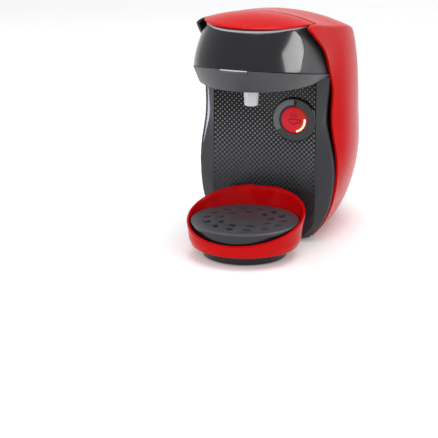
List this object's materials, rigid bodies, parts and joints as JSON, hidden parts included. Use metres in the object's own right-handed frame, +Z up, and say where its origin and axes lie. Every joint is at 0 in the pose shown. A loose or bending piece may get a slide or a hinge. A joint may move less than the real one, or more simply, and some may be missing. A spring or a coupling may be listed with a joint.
{
  "type": "pod coffee machine",
  "caption": "Compact worktop drinks machine: opening pod hood over a lift-off tilted cup stand, with push button, side water tank, pump and water heater.",
  "frame": {"origin": "on the standing plane, under the centre of the bounding box", "axes": "+Z up, -Y towards the user at the cup stand, +X to the user's right, so the water tank is at -X"},
  "size_m": [0.1682, 0.3051, 0.2551],
  "materials": {
    "red_gloss": "high gloss moulded colour",
    "black_gloss": "high gloss black",
    "anthracite": "fine satin texture",
    "trim_grey": "satin light grey",
    "grate_grey": "fine matt texture",
    "clear": "clear moulded plastic, slightly violet",
    "frosted": "translucent white",
    "light": "translucent lens, lit from behind",
    "black_matte": "plain moulded black",
    "rubber": "matt rubber",
    "silicone": "translucent silicone",
    "steel": "bright steel",
    "pump_steel": "zinc plated",
    "heater_metal": "cast, plain",
    "board_green": "lacquered circuit board",
    "white_plastic": "natural moulded nylon"
  },
  "bodies": {
    "housing": {"red_shell": "red_gloss", "button_bezel": "black_gloss", "front_panel": "black_gloss", "front_frame": "anthracite", "chin_shell": "anthracite", "left_cheek": "anthracite", "right_cheek": "anthracite", "rear_cover": "anthracite", "tank_bay": "anthracite", "status_crescent": "trim_grey", "drink_nozzle": "frosted", "reader_window": "clear", "base_plate": "black_matte", "chassis": "black_matte", "brew_unit": "black_matte", "pod_holder": "black_matte", "piercing_unit": "white_plastic", "lid_hinge_pin": "steel", "base_screws": "steel", "heater_bracket": "steel", "rubber_feet": "rubber", "inlet_bush": "rubber", "pump_mounts": "rubber", "pump": "pump_steel", "pump_cradle": "white_plastic", "water_heater": "heater_metal", "thermal_cutout": "pump_steel", "flow_meter": "white_plastic", "suction_hose": "silicone", "pump_hose": "silicone", "pressure_hose": "silicone", "hot_water_hose": "silicone", "control_board": "board_green", "button_board": "board_green", "board_standoffs": "white_plastic", "inlet_socket": "white_plastic"},
    "lid": {"lid_cover": "red_gloss", "visor": "black_gloss", "lid_trim": "trim_grey", "lid_frame": "black_matte", "lid_grip": "trim_grey"},
    "pod_press": {"pod_press": "white_plastic", "press_spring": "steel"},
    "start_button": {"start_button": "red_gloss", "light_arc": "light", "button_spring": "steel"},
    "water_tank": {"water_tank": "clear", "valve_body": "white_plastic", "valve_seal": "rubber", "valve_cage": "white_plastic", "float_guide": "white_plastic"},
    "tank_lid": {"tank_lid": "anthracite"},
    "valve_plunger": {"valve_plunger": "white_plastic", "valve_spring": "steel"},
    "level_float": {"level_float": "white_plastic"},
    "cup_stand": {"cup_stand_bowl": "red_gloss", "stand_foot": "black_gloss", "stand_pads": "rubber"},
    "drip_tray": {"drip_tray": "black_matte"},
    "drip_grate": {"drip_grate": "grate_grey"}
  },
  "joints": [
    {"name": "lid_hinge", "type": "hinge", "parent": "housing", "child": "lid", "pos_m": [0, -0.01961, 0.236], "axis": [-1, 0, 0], "range_deg": [0, 46]},
    {"name": "press_slide", "type": "slide", "parent": "lid", "child": "pod_press", "axis": [0, 0, 1], "range_m": [0, 0.0025], "stiffness_N_per_m": 1500, "springref_m": -0.003, "deforming": ["press_spring"]},
    {"name": "button_press", "type": "slide", "parent": "housing", "child": "start_button", "axis": [0, 1, 0], "range_m": [0, 0.002], "stiffness_N_per_m": 500, "springref_m": -0.002, "deforming": ["button_spring"]},
    {"name": "tank_lift", "type": "slide", "parent": "housing", "child": "water_tank", "axis": [0, 0, 1], "range_m": [0, 0.22]},
    {"name": "tank_lid_lift", "type": "slide", "parent": "water_tank", "child": "tank_lid", "axis": [0, 0, 1], "range_m": [0, 0.04]},
    {"name": "valve_slide", "type": "slide", "parent": "water_tank", "child": "valve_plunger", "axis": [0, 0, 1], "range_m": [0, 0.003], "stiffness_N_per_m": 120, "springref_m": -0.004, "deforming": ["valve_spring"]},
    {"name": "float_slide", "type": "slide", "parent": "water_tank", "child": "level_float", "axis": [0, 0, 1], "range_m": [0, 0.056]},
    {"name": "stand_slide", "type": "slide", "parent": "housing", "child": "cup_stand", "axis": [0, -1, 0], "range_m": [0, 0.12]},
    {"name": "tray_lift", "type": "slide", "parent": "cup_stand", "child": "drip_tray", "axis": [0, 0, 1], "range_m": [0, 0.05]},
    {"name": "grate_lift", "type": "slide", "parent": "drip_tray", "child": "drip_grate", "axis": [0, 0, 1], "range_m": [0, 0.03]}
  ]
}
